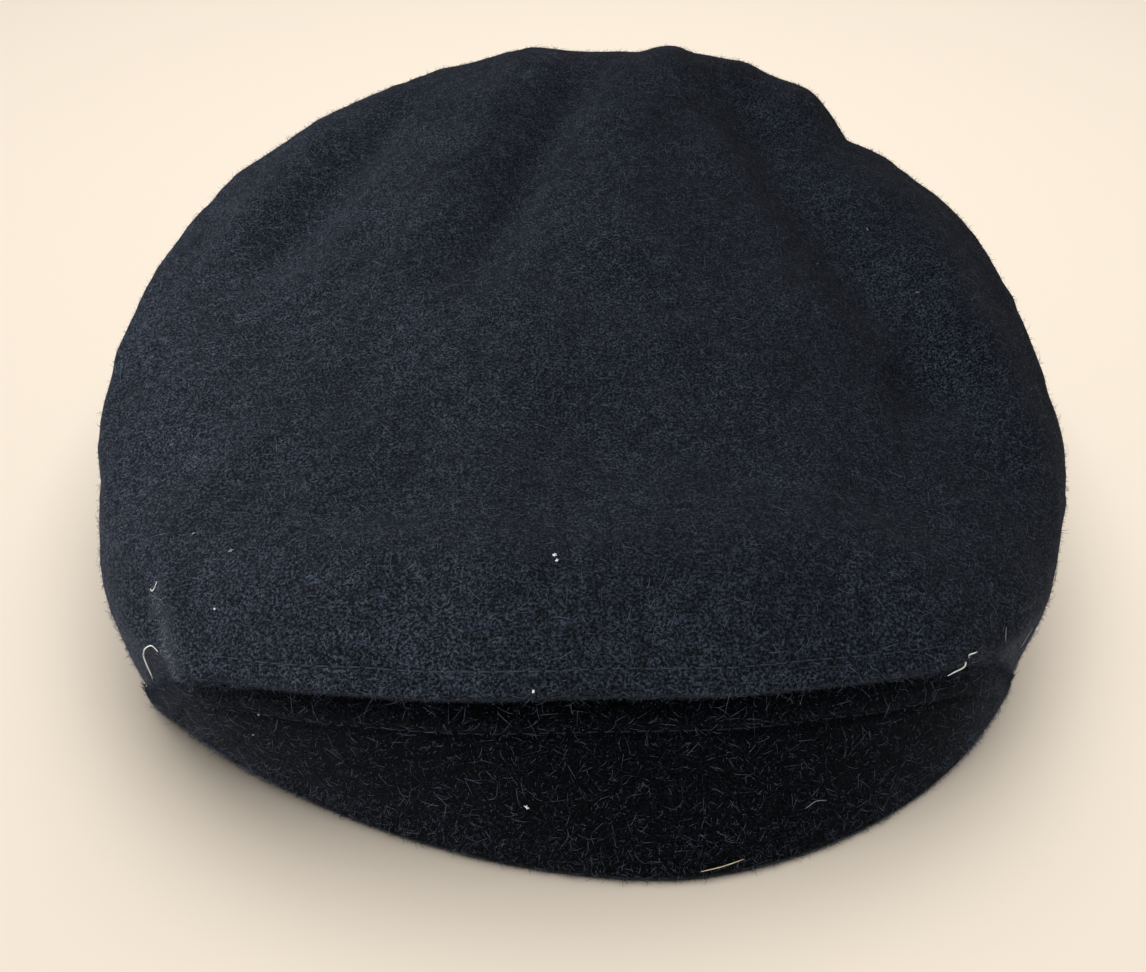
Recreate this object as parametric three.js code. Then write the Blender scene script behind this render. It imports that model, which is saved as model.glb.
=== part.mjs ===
// A soft wool flat cap resting on a table: a seamless crown, and a cloth-covered peak sewn to its front edge.
// Millimetres, +Z up, front towards -Y. The origin is the middle of the underside of the cap's box.
import * as THREE from "three";

// Driving dimensions
const CLOTH = 2.0; // thickness of the crown's wool cloth
const PEAK_THICK = 3.6; // board and two layers of cloth
const SEAM_GAP = 0.4; // clear space between the crown's turned edge and the peak
const FRONT_Y = -116.7; // front of the crown at the seam
const LEAN = 0.002; // sideways shear of the slumped crown, mm for each mm back from the seam

// The crown's profile: pole at 0, widest line at 1, lower edge at 2
const WIDEST = 1.0;
const HEM_START = 1.85; // from here to the edge the cloth lies flat
const EDGE = 2.0;
const HEM_SHARE = 0.15; // flat part of the turned-under width
const SPREAD = 0.9; // crowds the upper rings towards the widest line

// Mesh density
const AZIMUTH_STEP = 3; // degrees
const UPPER_RINGS = 13;
const UNDER_RINGS = 6;
const FACE_ROWS = 5; // of the peak, from seam to rim
const RIM_STEPS = 5; // of the peak's rounded rim

// Half of the crown, by azimuth from the front; the other half mirrors it.
// "full" flattens the top before it rolls over, "roll" rounds that shoulder.
const SECTION_COLUMNS = ["azimuth", "rimR", "rimZ", "edgeR", "edgeZ", "full", "roll"];
const SECTIONS = [
  [0, 116.7, 48.5, 114.2, 45.0, 8.0, 1.3],
  [20, 121.5, 46.5, 119.0, 43.0, 8.0, 1.3],
  [30, 127.0, 44.0, 124.5, 40.5, 7.0, 1.4],
  [38, 132.3, 41.0, 129.8, 37.5, 6.5, 1.6],
  [44, 134.2, 37.5, 133.4, 27.0, 6.0, 1.8],
  [48, 134.6, 35.5, 133.9, 15.0, 6.0, 2.0],
  [52, 134.7, 34.0, 133.2, 4.0, 5.8, 2.0],
  [56, 133.3, 34.5, 131.6, 0.0, 5.4, 2.0],
  [62, 129.8, 37.0, 125.6, 0.0, 5.0, 2.0],
  [72, 126.0, 44.0, 108.0, 0.0, 4.5, 2.0],
  [90, 122.0, 54.0, 72.0, 0.0, 4.5, 2.0],
  [135, 126.0, 64.0, 70.0, 0.0, 4.5, 2.0],
  [180, 131.0, 67.0, 72.0, 0.0, 4.5, 2.0],
];

// Height of the crown's top on its middle line, rising to the back, and its fall to the sides
const TOP = { middle: 65.0, rise: 0.165, hollow: 0.0009, fall: 0.0004 };

// Soft folds of the crown in plan, each along a bowed line; height is outwards, so a valley is negative.
const FOLD_COLUMNS = ["fromX", "fromY", "toX", "toY", "bow", "width", "height"];
const FOLDS = [
  [-66, 100, -106, 4, 0, 9, 2.4],
  [-38, 108, -92, -4, 2, 9, -3.8],
  [-10, 114, -54, -10, 2, 9, 2.6],
  [16, 122, -30, -6, 2, 8, -4.2],
  [29, 126, 8, -6, 0, 12, 3.4],
  [19, 142, 28, 88, 0, 5, -1.2],
  [37, 150, 32, 84, 0, 10, 3.6],
  [61, 158, 56, 86, 0, 13, 6.5],
  [84, 136, 70, 72, 0, 10, 6.0],
  [52, 118, 104, -42, 10, 11, -5.6],
  [95, 68, 115, -80, 0, 11, 5.0],
  [80, 80, 118, 86, 0, 6, -3.0],
  [104, -16, 60, -80, 0, 13, -3.4],
  [-100, -88, 96, -88, 0, 10, 1.8],
];
const FOLD_FADE = 0.3; // share of a fold's length over which each end fades

// Broad shallow dents of the top
const DENT_COLUMNS = ["x", "y", "halfX", "halfY", "height"];
const DENTS = [
  [0, -52, 66, 30, -4.0],
  [86, -28, 24, 14, -3.6],
  [-48, -71, 15, 8, -1.8],
  [-71, -57, 9, 8, -1.2],
  [14, -108, 16, 7, -0.9],
];
const DENT_FALL = 1.4;

// Where the turned edge is narrower than this, the cloth's inner face follows its chord.
const NARROW = { width: 6, span: 8 };

// Folds die out before the sewn front edge and under the overhang.
const CALM = { lip: 0.12, cornerAzimuth: 44, cornerSpan: 20, underSpan: 0.5 };

// The peak: its rim lies on the table, and its tips run out where the crown's edge comes down to it.
const PEAK = {
  endAzimuth: 54,
  frontY: -129.7,
  endX: 107.5,
  endY: -78.1,
  endZ: 0.1,
  bendLeft: 2.2, // power of the rim's curve on the -X side
  bendRight: 1.8, // and on the +X side
  round: 1.13, // fullness of the rim near both tips
  skew: 18.3, // the rim's front droops towards +X
  bulge: 0.8, // outward bow between seam and rim
  tuck: 0.2, // place of its upper edge under the crown's turned lip, 0 edge to 1 widest line
  tipGap: 0.3, // more clear space at both tips, where the crown's edge turns down
  tipPower: 6, // how late along the seam that space opens, and the tips thin out and stand upright
  tipThin: 0.8, // share of the thickness lost at both tips
};

const WOOL = new THREE.MeshStandardMaterial({ color: 0x1b2029, roughness: 0.95, metalness: 0.0 });

// Helpers
const clamp01 = (x) => Math.min(1, Math.max(0, x));
const ramp = (x) => THREE.MathUtils.smoothstep(x, 0, 1);
const named = (columns, row) => Object.fromEntries(columns.map((name, i) => [name, row[i]]));
const folds = FOLDS.map((row) => named(FOLD_COLUMNS, row));
const dents = DENTS.map((row) => named(DENT_COLUMNS, row));

// The mirrored rows on both sides of 0 and 180 degrees, so that slopes are level there.
const sectionRows = [
  ...SECTIONS.slice(1).reverse().map(([azimuth, ...rest]) => [-azimuth, ...rest]),
  ...SECTIONS,
  ...SECTIONS.slice(0, -1).reverse().map(([azimuth, ...rest]) => [360 - azimuth, ...rest]),
];

// Cubic through the section rows, with centred slopes
function sectionAt(azimuth) {
  const a = Math.abs(THREE.MathUtils.euclideanModulo(azimuth + 180, 360) - 180);
  const rows = sectionRows;
  const k = rows.findLastIndex((row) => row[0] <= a);
  const span = rows[k + 1][0] - rows[k][0];
  const t = (a - rows[k][0]) / span;
  const slope = (i, c) => (rows[i + 1][c] - rows[i - 1][c]) / (rows[i + 1][0] - rows[i - 1][0]);
  const values = SECTION_COLUMNS.map((_, c) => {
    const rise = rows[k][c] * (2 * t ** 3 - 3 * t ** 2 + 1) + rows[k + 1][c] * (3 * t ** 2 - 2 * t ** 3);
    const lean = slope(k, c) * (t ** 3 - 2 * t ** 2 + t) + slope(k + 1, c) * (t ** 3 - t ** 2);
    return rise + span * lean;
  });
  const section = named(SECTION_COLUMNS, values);
  section.edgeZ = Math.max(0, section.edgeZ);
  return section;
}

const topHeight = (x, y) => TOP.middle + TOP.rise * y + TOP.hollow * y * y - TOP.fall * x * x;

// The crown's outer face before its folds
function basePoint(azimuth, t) {
  const s = sectionAt(azimuth);
  const angle = THREE.MathUtils.degToRad(azimuth);
  let r;
  let z;
  if (t <= WIDEST) {
    const share = Math.sin((t * Math.PI) / 2) ** SPREAD;
    r = s.rimR * share;
    const level = topHeight(r * Math.sin(angle), -r * Math.cos(angle));
    z = s.rimZ + (level - s.rimZ) * Math.max(0, 1 - share ** s.full) ** (1 / s.roll);
  } else {
    const turn = (clamp01((t - WIDEST) / (HEM_START - WIDEST)) * Math.PI) / 2;
    const flat = clamp01((t - HEM_START) / (EDGE - HEM_START));
    const hem = (s.rimR - s.edgeR) * HEM_SHARE;
    r = s.edgeR + hem * (1 - flat) + (s.rimR - s.edgeR - hem) * Math.cos(turn);
    z = s.rimZ - (s.rimZ - s.edgeZ) * Math.sin(turn);
  }
  const y = -r * Math.cos(angle);
  return new THREE.Vector3(r * Math.sin(angle) + LEAN * (y - FRONT_Y), y, z);
}

// Outward normal of that face, from small steps either way
function baseNormal(azimuth, t) {
  const turn = 0.4;
  const step = 0.004;
  const above = Math.max(t - step, step / 2);
  const below = Math.min(t + step, EDGE);
  const across = basePoint(azimuth + turn, t).sub(basePoint(azimuth - turn, t));
  const down = basePoint(azimuth, below).sub(basePoint(azimuth, above));
  return down.cross(across).normalize();
}

// Height of all folds and dents at a point of the plan
function relief(x, y) {
  let height = 0;
  for (const f of folds) {
    const dx = f.toX - f.fromX;
    const dy = f.toY - f.fromY;
    const length = Math.hypot(dx, dy);
    const along = ((x - f.fromX) * dx + (y - f.fromY) * dy) / length ** 2;
    const straight = ((x - f.fromX) * dy - (y - f.fromY) * dx) / length;
    const across = straight - f.bow * 4 * along * (1 - along);
    const ends = ramp(along / FOLD_FADE) * ramp((1 - along) / FOLD_FADE);
    height += f.height * ends * Math.exp(-((across / f.width) ** 2));
  }
  for (const d of dents) {
    const distance = ((x - d.x) / d.halfX) ** 2 + ((y - d.y) / d.halfY) ** 2;
    height += d.height * Math.exp(-distance * DENT_FALL);
  }
  return height;
}

// How much of the folds is left at a place of the crown
function liveliness(azimuth, t) {
  const a = Math.abs(THREE.MathUtils.euclideanModulo(azimuth + 180, 360) - 180);
  const sides = clamp01((a - CALM.cornerAzimuth) / CALM.cornerSpan);
  if (t > WIDEST) return sides * clamp01((WIDEST + CALM.underSpan - t) / CALM.underSpan);
  const inner = clamp01((WIDEST - t) / CALM.lip);
  return inner + (1 - inner) * sides;
}

// The way through the cloth: the face's normal, or that of its chord where the turned edge is narrow
function shellNormal(azimuth, t) {
  const s = sectionAt(azimuth);
  const angle = THREE.MathUtils.degToRad(azimuth);
  const width = s.rimR - s.edgeR;
  const drop = s.rimZ - s.edgeZ;
  const narrow = 1 - clamp01((width - NARROW.width) / NARROW.span);
  const share = narrow * clamp01((t - WIDEST) / (EDGE - WIDEST));
  const chord = new THREE.Vector3(drop * Math.sin(angle), -drop * Math.cos(angle), -width).normalize();
  return baseNormal(azimuth, t).lerp(chord, share).normalize();
}

// A point of the crown; depth 0 is its outer face, and CLOTH its inner one.
function crownPoint(azimuth, t, depth) {
  const point = basePoint(azimuth, t);
  const lift = relief(point.x, point.y) * liveliness(azimuth, t);
  point.addScaledVector(baseNormal(azimuth, t), lift);
  return point.addScaledVector(shellNormal(azimuth, t), -depth);
}

function meshFrom(points, triangles, name) {
  const geometry = new THREE.BufferGeometry();
  geometry.setAttribute("position", new THREE.Float32BufferAttribute(points.flatMap((p) => p.toArray()), 3));
  geometry.setIndex(triangles.flat());
  geometry.computeVertexNormals();
  const mesh = new THREE.Mesh(geometry, WOOL);
  mesh.name = name;
  return mesh;
}

// Two triangles for each cell between rings of equal length, each given by its first vertex
function stitch(triangles, ringA, ringB, count) {
  for (let i = 0; i < count; i++) {
    const j = (i + 1) % count;
    triangles.push([ringA + i, ringB + i, ringB + j], [ringA + i, ringB + j, ringA + j]);
  }
}

// Crown: outer face from the pole to the edge, then the inner face back to its own pole.
function makeCrown() {
  const count = 360 / AZIMUTH_STEP;
  const steps = (from, to, n) => Array.from({ length: n }, (_, i) => from + ((to - from) * (i + 1)) / n);
  const upper = steps(0, WIDEST, UPPER_RINGS);
  const under = steps(WIDEST, HEM_START, UNDER_RINGS);
  const profile = [...upper, ...under, EDGE];
  const rings = [...profile.map((t) => [t, 0]), ...profile.toReversed().map((t) => [t, CLOTH])];
  const pole = basePoint(0, 0);
  pole.z += relief(pole.x, pole.y);
  const points = [pole];
  for (const [t, depth] of rings) {
    for (let i = 0; i < count; i++) points.push(crownPoint(i * AZIMUTH_STEP, t, depth));
  }
  points.push(pole.clone().setZ(pole.z - CLOTH));
  const triangles = [];
  const last = points.length - 1;
  const lastRing = last - count;
  for (let i = 0; i < count; i++) {
    const j = (i + 1) % count;
    triangles.push([0, 1 + i, 1 + j], [last, lastRing + j, lastRing + i]);
  }
  for (let k = 0; k + 1 < rings.length; k++) stitch(triangles, 1 + k * count, 1 + (k + 1) * count, count);
  return meshFrom(points, triangles, "crown");
}

function halfThickness(azimuth) {
  const thin = PEAK.tipThin * Math.abs(azimuth / PEAK.endAzimuth) ** PEAK.tipPower;
  return (PEAK_THICK / 2) * (1 - thin);
}

// Middle of the peak's rounded rim; azimuth only names the place along it.
function rimPoint(azimuth) {
  const u = azimuth / PEAK.endAzimuth;
  const bend = u < 0 ? PEAK.bendLeft : PEAK.bendRight;
  const curve = 1 - Math.max(0, 1 - Math.abs(u) ** bend) ** (1 / PEAK.round);
  return new THREE.Vector3(
    PEAK.endX * u + PEAK.skew * (1 - u * u),
    PEAK.frontY + (PEAK.endY - PEAK.frontY) * curve,
    halfThickness(azimuth) + PEAK.endZ * curve,
  );
}

// Upper edge of the peak's outer face, just under the crown's turned lip
function seamPoint(azimuth) {
  const edge = basePoint(azimuth, EDGE);
  const widest = basePoint(azimuth, WIDEST);
  const tip = PEAK.tipGap * Math.abs(azimuth / PEAK.endAzimuth) ** PEAK.tipPower;
  const point = edge.clone().lerp(widest, PEAK.tuck);
  return point.setZ(edge.z - SEAM_GAP - tip);
}

// One closed section of the peak: down the outer face, round the rim, up the inner face
function peakSection(azimuth) {
  const half = halfThickness(azimuth);
  const seam = seamPoint(azimuth);
  const rim = rimPoint(azimuth);
  const along = seamPoint(azimuth + 1).sub(seamPoint(azimuth - 1)).normalize();
  const upright = Math.abs(azimuth / PEAK.endAzimuth) ** PEAK.tipPower;
  const down = rim.clone().sub(seam).normalize().lerp(new THREE.Vector3(0, 0, -1), upright).normalize();
  const out = along.cross(down).normalize();
  const start = seam.clone().addScaledVector(out, -half);
  const middle = (v) => start.clone().lerp(rim, v).addScaledVector(out, PEAK.bulge * 4 * v * (1 - v));
  const rows = Array.from({ length: FACE_ROWS }, (_, i) => i / FACE_ROWS);
  const outer = rows.map((v) => middle(v).addScaledVector(out, half));
  const inner = rows.map((v) => middle(v).addScaledVector(out, -half));
  const level = (seam.z - inner[0].z) / Math.min(down.z, -0.5);
  inner[0].addScaledVector(down, THREE.MathUtils.clamp(level, 0, half));
  const round = Array.from({ length: RIM_STEPS + 1 }, (_, i) => {
    const angle = (Math.PI * i) / RIM_STEPS;
    const point = rim.clone().addScaledVector(out, half * Math.cos(angle));
    return point.addScaledVector(down, half * Math.sin(angle));
  });
  return [...outer, ...round, ...inner.reverse()];
}

function makePeak() {
  const points = [];
  const triangles = [];
  let count = 0;
  let sections = 0;
  for (let azimuth = -PEAK.endAzimuth; azimuth <= PEAK.endAzimuth; azimuth += AZIMUTH_STEP) {
    const section = peakSection(azimuth);
    count = section.length;
    points.push(...section);
    sections += 1;
  }
  for (let k = 0; k + 1 < sections; k++) stitch(triangles, k * count, (k + 1) * count, count);
  for (const first of [0, (sections - 1) * count]) {
    const middle = new THREE.Vector3();
    for (let i = 0; i < count; i++) middle.addScaledVector(points[first + i], 1 / count);
    points.push(middle);
    for (let i = 0; i < count; i++) {
      const cap = [points.length - 1, first + i, first + ((i + 1) % count)];
      triangles.push(first === 0 ? cap : cap.reverse());
    }
  }
  return meshFrom(points, triangles, "peak");
}

// The assembly, moved so that the origin is under the middle of its box
const assembly = new THREE.Group();
assembly.add(makeCrown(), makePeak());
const box = new THREE.Box3().setFromObject(assembly);
const middle = box.getCenter(new THREE.Vector3());
assembly.position.set(-middle.x, -middle.y, -box.min.z);

const cap = new THREE.Group();
cap.add(assembly);
cap.updateMatrixWorld(true);

export default cap;
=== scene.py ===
"""A soft wool flat cap at rest: its cloth, seam, stitching, nap and stray fibres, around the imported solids.

The form is worked out in millimetres, front towards -Y, and moved into the frame as each mesh is made.
"""

import bpy
import numpy as np
from mathutils import Matrix, Vector


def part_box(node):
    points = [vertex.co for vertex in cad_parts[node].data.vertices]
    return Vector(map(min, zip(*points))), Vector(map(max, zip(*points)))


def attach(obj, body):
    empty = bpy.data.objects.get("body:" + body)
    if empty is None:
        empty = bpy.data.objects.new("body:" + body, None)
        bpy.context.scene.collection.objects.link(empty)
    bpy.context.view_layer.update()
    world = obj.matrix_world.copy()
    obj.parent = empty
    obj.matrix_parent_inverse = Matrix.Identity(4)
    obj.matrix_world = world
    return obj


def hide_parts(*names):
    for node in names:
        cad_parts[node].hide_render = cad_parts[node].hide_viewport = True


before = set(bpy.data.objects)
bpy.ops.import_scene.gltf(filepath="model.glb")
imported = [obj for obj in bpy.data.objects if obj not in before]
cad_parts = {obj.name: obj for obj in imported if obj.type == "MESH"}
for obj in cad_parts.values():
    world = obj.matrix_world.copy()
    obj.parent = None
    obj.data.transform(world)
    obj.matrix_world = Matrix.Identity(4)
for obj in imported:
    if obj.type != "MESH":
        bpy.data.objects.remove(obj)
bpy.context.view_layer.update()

MM = 0.001
SEED = 4417

# Cloth and seam
CLOTH = 2.0
PEAK_THICK = 3.6
SEAM_GAP = 0.25
SEAM_CLOSES, SEAM_CLOSE_SPAN, SEAM_CLOSED = 34.0, 8.0, 0.1
FRONT_Y = -116.7
LEAN = 0.002

# The crown's profile: pole at 0, widest line at 1, lower edge at 2
WIDEST = 1.0
HEM_START = 1.85
EDGE = 2.0
HEM_SHARE = 0.15
SPREAD = 0.9

# Half of the crown, by azimuth from the front; the other half mirrors it
SECTION_COLUMNS = ("azimuth", "rim_r", "rim_z", "edge_r", "edge_z", "full", "roll")
SECTIONS = np.array([
    [0, 116.7, 48.5, 114.2, 45.0, 8.0, 1.3],
    [20, 121.5, 46.5, 119.0, 43.0, 8.0, 1.3],
    [30, 127.0, 44.0, 124.5, 40.5, 7.0, 1.4],
    [38, 132.3, 41.0, 129.8, 37.5, 6.5, 1.6],
    [44, 134.2, 37.5, 133.4, 27.0, 6.0, 1.8],
    [48, 134.6, 35.5, 133.9, 15.0, 6.0, 2.0],
    [52, 134.7, 34.0, 132.7, 4.0, 5.8, 2.0],
    [56, 133.3, 34.5, 130.9, 0.0, 5.4, 2.0],
    [62, 129.8, 37.0, 125.6, 0.0, 5.0, 2.0],
    [72, 126.0, 44.0, 108.0, 0.0, 4.5, 2.0],
    [90, 122.0, 54.0, 72.0, 0.0, 4.5, 2.0],
    [135, 126.0, 64.0, 70.0, 0.0, 4.5, 2.0],
    [180, 131.0, 67.0, 72.0, 0.0, 4.5, 2.0],
])
TOP_MIDDLE, TOP_RISE, TOP_HOLLOW, TOP_FALL = 65.0, 0.165, 0.0009, 0.0004

# Soft folds in plan, each along a bowed line; height is outwards
FOLD_COLUMNS = ("from_x", "from_y", "to_x", "to_y", "bow", "width", "height")
FOLDS = (
    (-66, 100, -106, 4, 0, 9, 2.4),
    (-38, 108, -92, -4, 2, 9, -3.8),
    (-10, 114, -54, -10, 2, 9, 2.6),
    (16, 122, -30, -6, 2, 8, -4.2),
    (29, 126, 8, -6, 0, 12, 3.4),
    (19, 142, 28, 88, 0, 5, -1.2),
    (37, 150, 32, 84, 0, 10, 3.6),
    (61, 158, 56, 86, 0, 13, 6.5),
    (84, 136, 70, 72, 0, 10, 6.0),
    (52, 118, 104, -42, 10, 11, -5.6),
    (95, 68, 115, -80, 0, 11, 5.0),
    (80, 80, 118, 86, 0, 6, -3.0),
    (104, -16, 60, -80, 0, 13, -3.4),
    (-100, -88, 96, -88, 0, 10, 1.8),
)
FOLD_FADE = 0.3
DENT_COLUMNS = ("x", "y", "half_x", "half_y", "height")
DENTS = (
    (0, -52, 66, 30, -4.0),
    (86, -28, 24, 14, -3.6),
    (-48, -71, 15, 8, -1.8),
    (-71, -57, 9, 8, -1.2),
    (14, -108, 16, 7, -0.9),
)
DENT_FALL = 1.4
NARROW, NARROW_SPAN = 6.0, 8.0
CALM_LIP, CORNER_AZIMUTH, CORNER_SPAN, CALM_UNDER = 0.12, 44.0, 20.0, 0.5

# A short crease down the left front corner, in the columns of FOLDS
CREASES = (
    (-78, -114, -93, -78, 0, 3.0, 1.2),
    (-84, -114, -101, -78, 0, 3.5, -1.8),
)
CREASE_FADE = 0.6

# Slack in the cloth: height and wavelength of its broad and its fine undulation
SLACK_BROAD, BROAD_WAVE, SLACK_FINE, FINE_WAVE = 0.35, 34.0, 0.12, 9.0
WAVE_SPREAD = (0.7, 1.5)

# The peak
PEAK_END = 54.0
RIM_FRONT_Y, RIM_END_X, RIM_END_Y, RIM_END_Z = -129.2, 106.7, -77.5, 0.1
BEND_LEFT, BEND_RIGHT, RIM_ROUND, RIM_SKEW = 1.95, 1.65, 1.25, 18.3
PEAK_BULGE, PEAK_TUCK, CORNER_TUCK = 0.8, 0.2, 0.8
TIP_GAP, TIP_POWER, TIP_THIN = 0.2, 6, 0.8
FLOOR_GAP, LEAST_DROP, EDGE_ROUND = 0.1, 0.5, 0.8

# Stitch rows, as distances along the cloth from the seam
LIP_ROW = 4.6
PEAK_ROW = 8.6
ROW_END = 38.0
STITCH_LENGTH, STITCH_SPACE, STITCH_THICK = 2.6, 3.3, 0.36
STITCH_RISE, STITCH_DIVE, STITCH_RINGS = 0.14, 0.4, 7
GROOVE_DEPTH, PEAK_GROOVE, GROOVE_WIDTH = 0.25, 0.5, 0.9
PUFF_HEIGHT, PUFF_PLACE, PUFF_WIDTH = 0.25, 0.35, 0.45
FRONT_PAST, FRONT_SPAN = 8, 10
ROW_FADE, ROW_MARGIN, MARGIN_SPAN = 8, 2, 6

# The pile stands proud of the cloth, and thins out towards the edges
PILE, PILE_END, PILE_SPAN, PILE_START = 0.7, 1.85, 0.5, 5.0
PILE_END_FRONT, LIP_UNDER = 1.5, 1.04
MEET_PAST, MEET_SPAN = 6, 5

# Mesh density
AZIMUTH_COUNT = 320
UPPER_RINGS, UNDER_RINGS, HEM_RINGS = 92, 28, 3
INNER_UPPER, INNER_UNDER = 28, 12
PEAK_SECTIONS, FACE_ROWS, INNER_ROWS, RIM_STEPS = 220, 48, 12, 10
POLE_PLACE, POLE_RINGS = 0.004, 6


def ramp(x):
    s = np.clip(x, 0, 1)
    return s * s * (3 - 2 * s)


def unit(v):
    return v / np.maximum(np.linalg.norm(v, axis=-1, keepdims=True), 1e-9)


# The crown's form

def turn_from_front(azimuth):
    return np.abs((azimuth + 180) % 360 - 180)


def section_at(azimuth):
    """Each column of SECTIONS at an azimuth: a cubic through the rows, with centred slopes."""
    a = turn_from_front(np.asarray(azimuth, float))
    before = SECTIONS[:0:-1] * np.where(np.arange(SECTIONS.shape[1]) == 0, -1, 1)
    after = SECTIONS[-2::-1].copy()
    after[:, 0] = 360 - after[:, 0]
    rows = np.concatenate([before, SECTIONS, after])
    x = rows[:, 0]
    k = np.clip(np.searchsorted(x, a, side="right") - 1, 1, len(x) - 3)
    span = x[k + 1] - x[k]
    t = (a - x[k]) / span
    section = {}
    for column, name in enumerate(SECTION_COLUMNS):
        y = rows[:, column]
        slope = lambda i: (y[i + 1] - y[i - 1]) / (x[i + 1] - x[i - 1])
        rise = y[k] * (2 * t**3 - 3 * t**2 + 1) + y[k + 1] * (3 * t**2 - 2 * t**3)
        lean = slope(k) * (t**3 - 2 * t**2 + t) + slope(k + 1) * (t**3 - t**2)
        section[name] = rise + span * lean
    section["edge_z"] = np.maximum(0, section["edge_z"])
    return section


def base_point(azimuth, t):
    """The crown's outer face before its folds."""
    azimuth, t = np.broadcast_arrays(np.asarray(azimuth, float), np.asarray(t, float))
    s = section_at(azimuth)
    angle = np.radians(azimuth)
    share = np.sin(np.clip(t, 0, WIDEST) * np.pi / 2) ** SPREAD
    upper_r = s["rim_r"] * share
    x, y = upper_r * np.sin(angle), -upper_r * np.cos(angle)
    level = TOP_MIDDLE + TOP_RISE * y + TOP_HOLLOW * y * y - TOP_FALL * x * x
    roll = np.maximum(0, 1 - share ** s["full"]) ** (1 / s["roll"])
    upper_z = s["rim_z"] + (level - s["rim_z"]) * roll
    turn = np.clip((t - WIDEST) / (HEM_START - WIDEST), 0, 1) * np.pi / 2
    flat = np.clip((t - HEM_START) / (EDGE - HEM_START), 0, 1)
    width = s["rim_r"] - s["edge_r"]
    hem = width * HEM_SHARE
    under_r = s["edge_r"] + hem * (1 - flat) + (width - hem) * np.cos(turn)
    under_z = s["rim_z"] - (s["rim_z"] - s["edge_z"]) * np.sin(turn)
    r = np.where(t > WIDEST, under_r, upper_r)
    z = np.where(t > WIDEST, under_z, upper_z)
    y = -r * np.cos(angle)
    return np.stack([r * np.sin(angle) + LEAN * (y - FRONT_Y), y, z], -1)


def base_normal(azimuth, t):
    turn, step = 0.4, 0.004
    above, below = np.maximum(t - step, step / 2), np.minimum(t + step, EDGE)
    across = base_point(azimuth + turn, t) - base_point(azimuth - turn, t)
    down = base_point(azimuth, below) - base_point(azimuth, above)
    return unit(np.cross(down, across))


def fold_heights(x, y, rows):
    height = np.zeros_like(x)
    for row in rows:
        f = dict(zip(FOLD_COLUMNS, row))
        dx, dy = f["to_x"] - f["from_x"], f["to_y"] - f["from_y"]
        length = np.hypot(dx, dy)
        along = ((x - f["from_x"]) * dx + (y - f["from_y"]) * dy) / length**2
        straight = ((x - f["from_x"]) * dy - (y - f["from_y"]) * dx) / length
        across = straight - f["bow"] * 4 * along * (1 - along)
        ends = ramp(along / FOLD_FADE) * ramp((1 - along) / FOLD_FADE)
        height += f["height"] * ends * np.exp(-((across / f["width"]) ** 2))
    return height


def relief(x, y):
    """Height of all folds and dents at points of the plan."""
    height = fold_heights(x, y, FOLDS)
    for row in DENTS:
        d = dict(zip(DENT_COLUMNS, row))
        distance = ((x - d["x"]) / d["half_x"]) ** 2 + ((y - d["y"]) / d["half_y"]) ** 2
        height += d["height"] * np.exp(-distance * DENT_FALL)
    return height


def liveliness(azimuth, t):
    """How much of the folds is left: none at the sewn front edge, and little under the overhang."""
    sides = np.clip((turn_from_front(azimuth) - CORNER_AZIMUTH) / CORNER_SPAN, 0, 1)
    inner = np.clip((WIDEST - t) / CALM_LIP, 0, 1)
    under = np.clip((WIDEST + CALM_UNDER - t) / CALM_UNDER, 0, 1)
    return np.where(t > WIDEST, sides * under, inner + (1 - inner) * sides)


def slack(points, wavelength, seed, count=24):
    """Soft random undulation of about unit height, from plane waves in space."""
    rng = np.random.default_rng(seed)
    ways = unit(rng.normal(size=(count, 3))) * (2 * np.pi / wavelength)
    ways *= rng.uniform(*WAVE_SPREAD, (count, 1))
    return np.sin(points @ ways.T + rng.uniform(0, 2 * np.pi, count)).sum(-1) * np.sqrt(2 / count)


def shell_normal(azimuth, t):
    """The way through the cloth: the face's normal, or that of its chord where the turned edge is narrow."""
    s = section_at(azimuth)
    width, drop = s["rim_r"] - s["edge_r"], s["rim_z"] - s["edge_z"]
    narrow = 1 - np.clip((width - NARROW) / NARROW_SPAN, 0, 1)
    share = (narrow * np.clip((t - WIDEST) / (EDGE - WIDEST), 0, 1))[..., None]
    angle = np.radians(azimuth)
    chord = unit(np.stack([drop * np.sin(angle), -drop * np.cos(angle), -width], -1))
    return unit(base_normal(azimuth, t) * (1 - share) + chord * share)


def crown_point(azimuth, t, depth=0.0):
    azimuth, t = np.broadcast_arrays(np.asarray(azimuth, float), np.asarray(t, float))
    point = base_point(azimuth, t)
    live = liveliness(azimuth, t)
    lift = relief(point[..., 0], point[..., 1]) * live
    broad = SLACK_BROAD * slack(point, BROAD_WAVE, SEED)
    fine = SLACK_FINE * slack(point, FINE_WAVE, SEED + 1)
    lift += (broad + fine) * live
    lift += fold_heights(point[..., 0], point[..., 1], CREASES) * np.clip((EDGE - t) / CREASE_FADE, 0, 1)
    return point + base_normal(azimuth, t) * lift[..., None] - shell_normal(azimuth, t) * depth


# Placing the form in the frame

def middle_of(low, high):
    return (np.array(low) + np.array(high)) / 2


def frame_shift():
    """The move from the form's own axes to the frame, from the crown's box in both."""
    points = base_point(*np.meshgrid(np.arange(0, 360, 2.0), np.linspace(0, EDGE, 60)))
    flat = points.reshape(-1, 3)
    own = middle_of(flat.min(0), flat.max(0))
    there = middle_of(*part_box("crown")) / MM
    return np.array([there[0] - own[0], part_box("peak")[0].y / MM - peak_front(), 0.0])


def half_thickness(azimuth):
    return PEAK_THICK / 2 * (1 - TIP_THIN * np.abs(azimuth / PEAK_END) ** TIP_POWER)


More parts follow.
